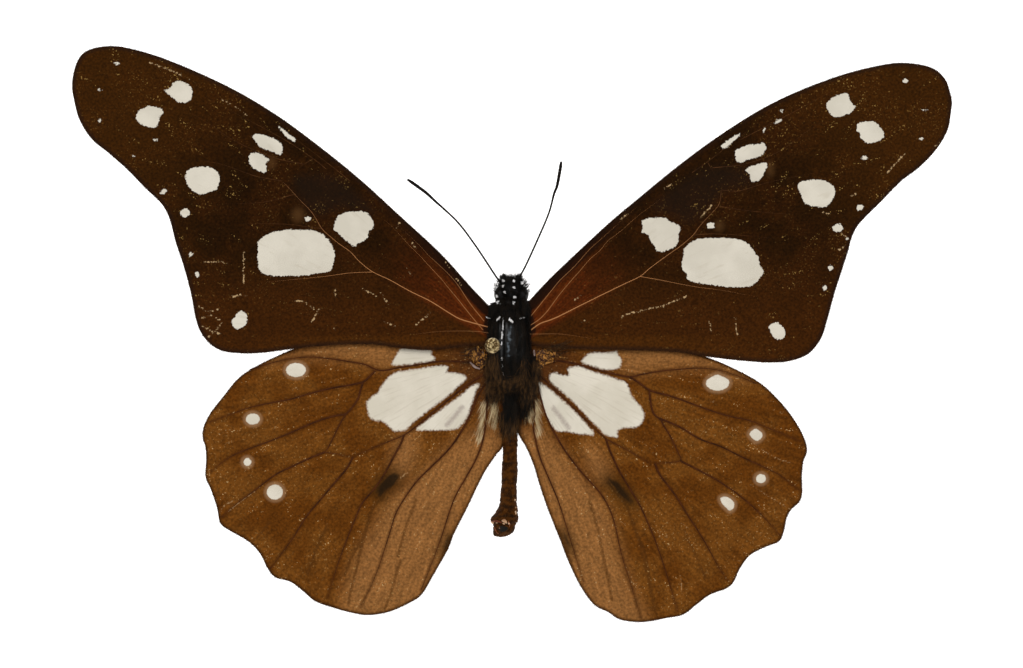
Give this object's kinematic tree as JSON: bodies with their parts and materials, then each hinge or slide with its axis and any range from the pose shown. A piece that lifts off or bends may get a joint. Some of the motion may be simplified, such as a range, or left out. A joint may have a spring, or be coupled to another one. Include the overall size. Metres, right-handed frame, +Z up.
{
  "type": "pinned butterfly specimen",
  "caption": "Spread butterfly specimen with raised wing veins, antennae, folded legs and a coiled tongue, held on a long steel insect pin with a round brass head.",
  "frame": {"origin": "the pin's point, at the height of the surface that the pin is pushed into or stood on", "axes": "+X towards the specimen's right wings, +Y towards its head, +Z up, from the pin's point to its head"},
  "size_m": [0.075, 0.0491, 0.0381],
  "materials": {
    "forewing": "matt scaled membrane, dark brown with off-white spots",
    "hindwing": "matt scaled membrane, ochre brown with off-white spots",
    "body": "glossy black cuticle with dark hair",
    "abdomen": "dry dark brown cuticle",
    "eye": "dry faceted eye",
    "horn": "dark dry cuticle",
    "pin_steel": "drawn steel wire, ground to a point",
    "pin_brass": "worn, mottled brass"
  },
  "bodies": {
    "root": {"forewing_left": "forewing", "forewing_right": "forewing", "hindwing_left": "hindwing", "hindwing_right": "hindwing", "thorax": "body", "head": "body", "abdomen": "abdomen", "eye_left": "eye", "eye_right": "eye", "proboscis": "horn", "antenna_left": "horn", "antenna_right": "horn", "fore_leg_left": "horn", "fore_leg_right": "horn", "mid_leg_left": "horn", "mid_leg_right": "horn", "hind_leg_left": "horn", "hind_leg_right": "horn", "pin_shaft": "pin_steel", "pin_head": "pin_brass"}
  },
  "joints": []
}
